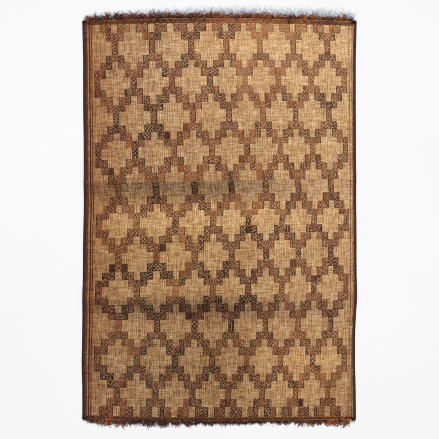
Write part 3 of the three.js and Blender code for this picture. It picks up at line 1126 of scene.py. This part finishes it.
def binding(name, side, material):
    """A leather strip folded over the reed ends."""
    rng = np.random.default_rng(side["seeds"][0])
    bm = bmesh.new()
    folds = len(BINDING_FOLD)
    bmesh.ops.create_grid(bm, x_segments=folds - 1, y_segments=BINDING_STATIONS, size=0.5)
    mesh = as_mesh(bm)
    shape = numbers_of(mesh)
    fold = ((shape[:, 0] + 0.5) * (folds - 1)).round().astype(int)
    down = 0.5 - shape[:, 1]
    station = (down * BINDING_STATIONS).round().astype(int)
    waver = WAVER * soft_noise(rng, WAVER_SPAN)[station]
    ripple = RIPPLE * soft_noise(rng, RIPPLE_SPAN)[station]
    cover = side["cover"] + waver
    inward = column(BINDING_FOLD, "cover")[fold] * cover + column(BINDING_FOLD, "mm")[fold]
    height = column(BINDING_FOLD, "high")[fold] + (fold < FOLDS_ON_TOP) * ripple
    points = edge_points(side, inward, down, height)
    mesh.vertices.foreach_set("co", (points * MM).astype(np.float32).ravel())

    def thicken(holder):
        solid = holder.modifiers.new("leather", "SOLIDIFY")
        solid.thickness = BINDING_LEATHER * MM
        solid.offset = 0

    thick = applied(mesh, thicken)
    bm = bmesh.new()
    bm.from_mesh(thick)
    for face in bm.faces:
        face.smooth = True
    thick = as_mesh(bm)
    points = numbers_of(thick) / MM
    node = "binding_" + name
    made = piece(node + "_leather", thick, points, material, node)
    dye = np.tile(linear(BINDING_DYE), (len(points), 1))
    # The binding takes a little of the wear and of the painted crease shade.
    dye[:, :3] *= leather_wear_and_shade(points, BINDING_WEAR_AND_SHADE)[:, None]
    keep(thick, "dye", dye)
    return made


LACING_PITCH = 6.6
LACING_SEGMENTS = 4
LACING_SLANT, LACING_HALF_WIDTH = 0.55, 0.44  # of the pitch
LACING_TAPER = 0.5  # how much narrower a stitch is at both ends
# How high a stitch's ends lie, how far it rises between them, how much less it rises on its outer side, and
# half its thickness.
LACING_LOW, LACING_RISE, LACING_SINK, LACING_HALF_HIGH = 2.6, 3.0, 0.35, 0.75
LACING_UNEVEN_HEIGHT, LACING_UNEVEN_PLACE = 0.12, 0.5
LACING_DYE, LACING_SPREAD = 1.2, 0.45
LACING_DYES = ["#7A4A30", "#5C3524", "#44281E", "#2E1C18"]


def lacing(name, side, material):
    """The red-brown thong that laces the binding's inner edge to the reeds, in slanting stitches."""
    rng = np.random.default_rng(side["seeds"][1])
    count = int(REEDS * REED_PITCH / LACING_PITCH)
    mesh, shape = many(rod(6, LACING_SEGMENTS), count)
    along, around, up = np.moveaxis(shape, 2, 0)
    inner, outer = side["lacing"]
    share = along / LACING_SEGMENTS
    inward = inner + (outer - inner) * share
    slant = LACING_SLANT * LACING_PITCH * (share - 0.5)
    half_width = LACING_HALF_WIDTH * LACING_PITCH * (1 - LACING_TAPER * (2 * share - 1) ** 4)
    place = (np.arange(count)[:, None] + 0.5) * LACING_PITCH + slant + half_width * around
    hump = np.sin(math.pi * share) ** 0.5
    height = LACING_LOW + LACING_RISE * hump * (1 - LACING_SINK * share) + LACING_HALF_HIGH * up
    height = height + rng.normal(0, LACING_UNEVEN_HEIGHT, (count, 1))
    inward = inward + rng.normal(0, LACING_UNEVEN_PLACE, (count, 1))
    down = np.clip(place / (REEDS * REED_PITCH), 0, 1)
    points = edge_points(side, inward, down, height)
    node = "binding_" + name
    made = piece(node + "_lacing", mesh, points, material, node)
    level = np.broadcast_to(LACING_DYE + rng.normal(0, LACING_SPREAD, (count, 1)), share.shape)
    keep(mesh, "dye", dyes_at(LACING_DYES, level).reshape(-1, 4))
    return made


# The end cords: two thongs twisted together along the first and the last reed.
CORD_TWIST = 15  # length of one turn
CORD_TURN_STEPS = 8
CORD_PLY = 1.5  # radius of one ply
CORD_OUT = 1.2  # from the end of the weave to the cord's middle
CORD_HIGH = 3.4
CORD_PART_TURNS = 8  # the mesh is made of parts of so many turns
CORD_SWELLS = [(0.06, 1.7), (0.05, 0.61)]  # how much thicker or thinner a ply gets, and how often
CORD_SPREAD = 0.25  # of the dye, from part to part
CORD_WAVE, CORD_WAVE_LENGTH = 0.3, 30
CORD_DYES = ["#C4824F", "#A4683C", "#875231", "#633A27", "#3A231A"]
CORD_MARGIN = 14  # the cord ends this far inside the mat's sides, below the corner knots
# How dark the cords are, in steps of their dyes.
CORD_DARK = named_rows(
    "across top bottom",
    (-720, 2.2, 2.8),
    (-580, 1.4, 3.4),
    (-460, 1.4, 4.0),
    (-130, 1.0, 3.2),
    (130, 0.5, 2.8),
    (400, 0.3, 2.4),
    (620, 1.0, 1.9),
    (760, 0.6, 0.6),
)


def end_cord(name, end, material):
    """A two-ply leather cord."""
    rng = np.random.default_rng(SEEDS["cords"] + end["out"])
    x_line, y_line = end_line(end["out"])
    length = x_line[-1] - x_line[0] - 2 * CORD_MARGIN
    turns = int(length / CORD_TWIST)
    steps = CORD_TURN_STEPS * CORD_PART_TURNS
    parts = math.ceil(turns / CORD_PART_TURNS)
    mesh, shape = many(rod(6, steps), 2 * parts)
    along, side, up = np.moveaxis(shape, 2, 0)
    copy = np.arange(2 * parts)[:, None]
    turn = (along + steps * (copy // 2)) / CORD_TURN_STEPS
    x = x_line[0] + CORD_MARGIN + turn * length / (CORD_PART_TURNS * parts)
    angle = 2 * math.pi * turn + math.pi * (copy % 2)
    ply = CORD_PLY * (1 + sum(swell * np.sin(turn * often) for swell, often in CORD_SWELLS))
    y = np.interp(x, x_line, y_line) + end["out"] * CORD_OUT + ply * np.cos(angle) + ply * side
    z = CORD_HIGH + ply * np.sin(angle) + ply * up
    points = np.stack([x, y, z], axis=-1)
    made = piece("twisted_cord_" + name, mesh, points, material, "end_cord_" + name)
    dark = np.interp(x, column(CORD_DARK, "across"), column(CORD_DARK, name))
    level = dark + rng.normal(0, CORD_SPREAD, (2 * parts, 1)) + CORD_WAVE * np.sin(x / CORD_WAVE_LENGTH)
    keep(mesh, "dye", dyes_at(CORD_DYES, level).reshape(-1, 4))
    return made


# The fringes: the cut ends of the thongs, frayed and curled.
TOP_FRINGE_DYES = ["#AA643C", "#7A452A", "#4E2C1F", "#281917"]
BOTTOM_FRINGE_DYES = ["#AA683F", "#7A472C", "#4C2C20", "#261916"]
FRINGE_SEGMENTS = 8
TUFT_STRANDS = 7
FRINGE_MARGIN, FRINGE_START = 8, 3  # in from the mat's sides, and out from the end of the weave
TUFT_UNEVEN, STRAND_UNEVEN = 3, 2.2  # how far a tuft, and a strand of it, lies from its even place
# Strands at each end of a fringe that lie over the weave, where the bindings end in a knot. Their places are
# counted from the last free strand.
KNOT_STRANDS, KNOT_DYE = 30, 3
KNOT_FROM, KNOT_TO, KNOT_DEPTH, KNOT_LIFT, KNOT_LENGTHS = 0, 20, 14, 3.5, (10, 17)
ROOT_DARKER = 2.2  # steps of dye by which a strand is darker at its root
# How a strand varies at random, as the lowest and the highest value.
TUFT_LENGTHS, STRAND_LENGTHS = (0.8, 1.45), (0.8, 1.2)  # shares of the fringe's reach
STRAND_STARTS, STRAND_HUMPS = (0.5, 3.2), (0.5, 5)
STRAND_HALF_WIDTHS, STRAND_HALF_DEPTHS = (1.3, 2.7), (0.5, 0.9)
TUFT_CURLS = (1.2, 4.2)  # radians from root to tip, either way
# How a strand varies at random, as the spread of its value.
TUFT_LEAN, STRAND_LEAN, STRAND_CURL, STRAND_WOBBLE, STRAND_TWIST = 0.45, 0.35, 0.8, 0.4, 2.2
TUFT_SPREAD, STRAND_SPREAD = 0.6, 0.5  # of the dye
# How far the fringe and its hairs reach in mm, and how dark it is in steps of its dyes.
TOP_REACH = named_rows(
    "across reach hair dark",
    (-790, 26, 28, 1.7),
    (-700, 42, 42, 1.4),
    (-600, 48, 50, 1.2),
    (-480, 43, 54, 1.2),
    (-200, 37, 62, 1.2),
    (100, 40, 70, 0.8),
    (300, 41, 72, 0.6),
    (400, 38, 72, 0.6),
    (700, 37, 72, 0.7),
    (790, 32, 56, 0.9),
)
BOTTOM_REACH = named_rows(
    "across reach hair dark",
    (-790, 24, 14, 0.8),
    (-650, 42, 28, 0.9),
    (-460, 37, 30, 1.6),
    (-150, 32, 24, 1.8),
    (100, 27, 24, 1.9),
    (400, 27, 44, 1.3),
    (560, 32, 34, 1.2),
    (650, 38, 40, 0.9),
    (730, 37, 34, 0.3),
    (790, 26, 18, 0.6),
)


TIP_THINNER = 0.55  # how much narrower a strand is at its tip
STRAND_REST = 0.8  # height at which a strand rests, of its half width
STRAND_LOWEST = 0.1  # no part of a strand goes lower


def strand_points(shape, start, heading, length, curl, wobble, half_width, half_depth, hump, twist):
    """Points of curled strips. Each argument but the first has one row a strand."""
    along, side, up = np.moveaxis(shape, 2, 0)
    station = along.round().astype(int)
    segments = station.max()
    share = np.linspace(0, 1, segments + 1)[None, :]
    angle = heading + curl * share + wobble * np.sin(2 * math.pi * (share + wobble))
    step = length / segments
    x = start[:, :1] + np.cumsum(np.cos(angle) * step, axis=1) - np.cos(angle) * step
    y = start[:, 1:2] + np.cumsum(np.sin(angle) * step, axis=1) - np.sin(angle) * step
    z = start[:, 2:3] * (1 - share) + half_width * STRAND_REST + hump * np.sin(math.pi * share)

    def at_station(values):
        return np.take_along_axis(np.broadcast_to(values, x.shape), station, axis=1)

    taper = at_station(1 - TIP_THINNER * share**2)
    turned = at_station(twist * share)
    facing = at_station(angle)
    wide = half_width * taper * side
    deep = half_depth * taper * up
    out = wide * np.cos(turned) - deep * np.sin(turned)
    high = wide * np.sin(turned) + deep * np.cos(turned)
    px = at_station(x) - np.sin(facing) * out
    py = at_station(y) + np.cos(facing) * out
    return np.stack([px, py, np.maximum(at_station(z) + high, STRAND_LOWEST)], axis=-1)


def fringe(name, end, material):
    """The curled thong ends beyond one end of the mat, in tufts."""
    rng = np.random.default_rng(SEEDS["fringes"] + end["out"])
    x_line, y_line = end_line(end["out"])
    count = end["strands"]
    tufts = count // TUFT_STRANDS
    tuft = np.minimum(np.arange(count) // TUFT_STRANDS, tufts - 1)
    low, high = x_line[0] + FRINGE_MARGIN, x_line[-1] - FRINGE_MARGIN
    tuft_x = np.linspace(low, high, tufts) + rng.normal(0, TUFT_UNEVEN, tufts)
    x = tuft_x[tuft] + rng.normal(0, STRAND_UNEVEN, count)
    knots = np.r_[:KNOT_STRANDS, count - KNOT_STRANDS : count]
    inward = rng.uniform(KNOT_FROM, KNOT_TO, KNOT_STRANDS)
    x[knots] = np.concatenate([low + inward, high - inward])
    reach = np.interp(x, column(end["reach"], "across"), column(end["reach"], "reach"))
    length = reach * rng.uniform(*TUFT_LENGTHS, tufts)[tuft] * rng.uniform(*STRAND_LENGTHS, count)
    y = np.interp(x, x_line, y_line) + end["out"] * FRINGE_START
    height = rng.uniform(*STRAND_STARTS, count)
    y[knots] -= end["out"] * rng.uniform(0, KNOT_DEPTH, 2 * KNOT_STRANDS)
    height[knots] += KNOT_LIFT
    length[knots] = rng.uniform(*KNOT_LENGTHS, 2 * KNOT_STRANDS)
    start = np.column_stack([x, y, height])
    lean = rng.normal(0, TUFT_LEAN, tufts)[tuft] + rng.normal(0, STRAND_LEAN, count)
    heading = end["out"] * math.pi / 2 + lean[:, None]
    tuft_curl = rng.choice((-1, 1), tufts) * rng.uniform(*TUFT_CURLS, tufts)
    curl = tuft_curl[tuft, None] + rng.normal(0, STRAND_CURL, (count, 1))
    wobble = rng.normal(0, STRAND_WOBBLE, (count, 1))
    half_width = rng.uniform(*STRAND_HALF_WIDTHS, (count, 1))
    half_depth = rng.uniform(*STRAND_HALF_DEPTHS, (count, 1))
    hump = rng.uniform(*STRAND_HUMPS, (count, 1))
    twist = rng.normal(0, STRAND_TWIST, (count, 1))
    mesh, shape = many(rod(4, FRINGE_SEGMENTS), count)
    points = strand_points(
        shape, start, heading, length[:, None], curl, wobble, half_width, half_depth, hump, twist
    )
    node = "fringe_" + name
    made = piece("fringe_curls_" + name, mesh, points, material, node, mapped=False)
    share = shape[:, :, 0] / FRINGE_SEGMENTS
    dark = np.interp(x, column(end["reach"], "across"), column(end["reach"], "dark"))
    dark = dark + rng.normal(0, TUFT_SPREAD, tufts)[tuft] + rng.normal(0, STRAND_SPREAD, count)
    dark[knots] = KNOT_DYE
    level = dark[:, None] + ROOT_DARKER * (1 - share).clip(0, 1) ** 2
    keep(mesh, "dye", dyes_at(end["dyes"], level).reshape(-1, 4))
    return made


# Pale bluish greys of the hairs: partly frayed fibres, partly a painted shadow of the fringe on the floor.
HAIR_AND_SHADOW_GREYS = ["#C6D0E0", "#A0ABC0", "#767E94"]
HAIR_AND_SHADOW_LEVEL, HAIR_SPREAD = 0.6, 0.4
HAIR_SEGMENTS, HAIR_MARGIN = 5, 15
# How a hair varies at random, as the lowest and the highest value, and as the spread of its value.
HAIR_PLACES, HAIR_STARTS, HAIR_HUMPS = (6, 22), (0.5, 3), (0, 4)
HAIR_LENGTHS, HAIR_RADII = (0.4, 1.1), (0.18, 0.36)
HAIR_LEAN, HAIR_CURL, HAIR_WOBBLE = 0.5, 0.9, 0.4


def fibres_and_shadow_wisps(name, end, material):
    """Fine fibres frayed out of the thong ends, pale bluish grey, which also stand as a painted shadow of the
    fringe on the floor.
    """
    rng = np.random.default_rng(SEEDS["hairs"] + end["out"])
    x_line, y_line = end_line(end["out"])
    count = end["hairs"]
    mesh, shape = many(rod(3, HAIR_SEGMENTS), count)
    x = rng.uniform(x_line[0] + HAIR_MARGIN, x_line[-1] - HAIR_MARGIN, count)
    reach = np.interp(x, column(end["reach"], "across"), column(end["reach"], "hair"))
    y = np.interp(x, x_line, y_line) + end["out"] * rng.uniform(*HAIR_PLACES, count)
    start = np.column_stack([x, y, rng.uniform(*HAIR_STARTS, count)])
    length = (reach * rng.uniform(*HAIR_LENGTHS, count))[:, None]
    heading = end["out"] * math.pi / 2 + rng.normal(0, HAIR_LEAN, (count, 1))
    curl = rng.normal(0, HAIR_CURL, (count, 1))
    wobble = rng.normal(0, HAIR_WOBBLE, (count, 1))
    radius = rng.uniform(*HAIR_RADII, (count, 1))
    hump = rng.uniform(*HAIR_HUMPS, (count, 1))
    no_twist = np.zeros((count, 1))
    points = strand_points(shape, start, heading, length, curl, wobble, radius, radius, hump, no_twist)
    node = "fringe_" + name
    made = piece("fibres_and_shadow_wisps_" + name, mesh, points, material, node, mapped=False)
    # The hairs' greys stand partly for the fringe's shadow on the floor, as painted shadow.
    level = rng.normal(HAIR_AND_SHADOW_LEVEL, HAIR_SPREAD, (count, 1))
    keep(mesh, "dye", dyes_at(HAIR_AND_SHADOW_GREYS, np.broadcast_to(level, shape.shape[:2])).reshape(-1, 4))
    return made


# Both ends of the mat, with how many fringe strands and hairs each has.
ENDS = {
    "top": {"out": 1, "reach": TOP_REACH, "dyes": TOP_FRINGE_DYES, "strands": 1600, "hairs": 3000},
    "bottom": {"out": -1, "reach": BOTTOM_REACH, "dyes": BOTTOM_FRINGE_DYES, "strands": 1400, "hairs": 260},
}

# Everything that is made.
thong_sheen = {"Specular IOR Level": 0.12, "IOR": 1.45}
hide_sheen = {"Specular IOR Level": 0.15, "IOR": 1.5}
weave_leather = goat_leather("dyed_goat_thong", thong_sheen, THONG_GRAIN, THONG_UNEVEN)
binding_hide = goat_leather("folded_goat_hide", hide_sheen, HIDE_GRAIN, HIDE_UNEVEN)
cord_leather = goat_leather("twisted_goat_thong", thong_sheen, THONG_GRAIN, THONG_UNEVEN)
fringe_leather = goat_leather("frayed_goat_thong", thong_sheen, THONG_GRAIN, THONG_UNEVEN)

field = reeds()
all_floats = float_list()
extra_rng = np.random.default_rng(SEEDS["borders"])
extras = np.array(border_list(BORDER_STRIPES, extra_rng) + end_band_list(extra_rng))
all_floats = np.concatenate([all_floats, extras])
is_left = all_floats[:, 0] < LATTICE_THONGS / 2
pieces = [
    float_piece("lattice_thongs_left", all_floats[is_left], weave_leather),
    float_piece("lattice_thongs_right", all_floats[~is_left], weave_leather),
    back_thongs(weave_leather),
]
for side_name, side in SIDES.items():
    pieces.append(binding(side_name, side, binding_hide))
    pieces.append(lacing(side_name, side, weave_leather))
for make, leather in ((end_cord, cord_leather), (fringe, fringe_leather), (fibres_and_shadow_wisps, fringe_leather)):
    for end_name, end in ENDS.items():
        pieces.append(make(end_name, end, leather))

# The studio: a matt white floor, just below the mat, a distant light, a soft box overhead and a white room.
FLOOR_HALF, FLOOR_DROP = 20, 0.0002  # in metres
floor_mesh = bpy.data.meshes.new("floor")
floor_bm = bmesh.new()
bmesh.ops.create_grid(floor_bm, x_segments=1, y_segments=1, size=FLOOR_HALF)
floor_bm.to_mesh(floor_mesh)
floor_bm.free()
floor = bpy.data.objects.new("floor", floor_mesh)
floor_mesh.transform(Matrix.Translation((0, 0, -FLOOR_DROP)))
floor_mesh.materials.append(floor_paper())
bpy.context.scene.collection.objects.link(floor)
floor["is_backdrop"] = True


def soft_light(name, place, target, size, power, colour):
    """A square soft box aimed at a point."""
    data = bpy.data.lights.new(name, "AREA")
    data.shape = "RECTANGLE"
    data.size, data.size_y = size
    data.energy = power
    data.color = linear(colour)[:3]
    lamp = bpy.data.objects.new(name, data)
    lamp.location = place
    lamp.rotation_euler = (Vector(target) - Vector(place)).to_track_quat("-Z", "Y").to_euler()
    bpy.context.scene.collection.objects.link(lamp)


# The distant light stands beyond the top end, and falls evenly on the whole mat.
key = bpy.data.lights.new("distant_soft_light", "SUN")
key.energy = 3.4
key.angle = math.radians(18)
key.color = linear("#FFF9F2")[:3]
key_lamp = bpy.data.objects.new("distant_soft_light", key)
key_lamp.rotation_euler = Vector((-0.05, -1.3, -1.0)).to_track_quat("-Z", "Y").to_euler()
bpy.context.scene.collection.objects.link(key_lamp)
soft_light(
    "overhead_soft_box", place=(0, 0.5, 6.0), target=(0, 0, 0), size=(4.0, 4.0), power=140, colour="#FFFFFF"
)

world = bpy.data.worlds.new("white_room")
world.use_nodes = True
world.node_tree.nodes["Background"].inputs["Color"].default_value = linear("#F4F6FA")
world.node_tree.nodes["Background"].inputs["Strength"].default_value = 0.45
bpy.context.scene.world = world
bpy.context.scene.view_settings.view_transform = "Standard"
# The weave is as fine as the picture's pixels, and denoising would wash its patterns out.
bpy.context.scene.cycles.filter_width = 1.0
bpy.context.scene.cycles.use_denoising = False

# The camera looks straight down on the square picture, a little off the mat's middle.
PICTURE_PIXELS, MM_TO_A_PIXEL = 439, 5.83
PICTURE_WIDTH = PICTURE_PIXELS * MM_TO_A_PIXEL * MM
CAMERA_HEIGHT, CAMERA_RIGHT, CAMERA_UP = 5.0, 0.0018, -0.0014
SENSOR_WIDTH = 36
camera_data = bpy.data.cameras.new("camera")
camera_data.sensor_width = SENSOR_WIDTH
camera_data.lens = SENSOR_WIDTH * CAMERA_HEIGHT / PICTURE_WIDTH
camera = bpy.data.objects.new("camera", camera_data)
camera.location = (CAMERA_RIGHT, CAMERA_UP, CAMERA_HEIGHT)
bpy.context.scene.collection.objects.link(camera)
bpy.context.scene.camera = camera

visual_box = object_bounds()
boxes = {"cad": cad_box, "visual": visual_box}
{name: [list(corner) for corner in box] for name, box in boxes.items()}
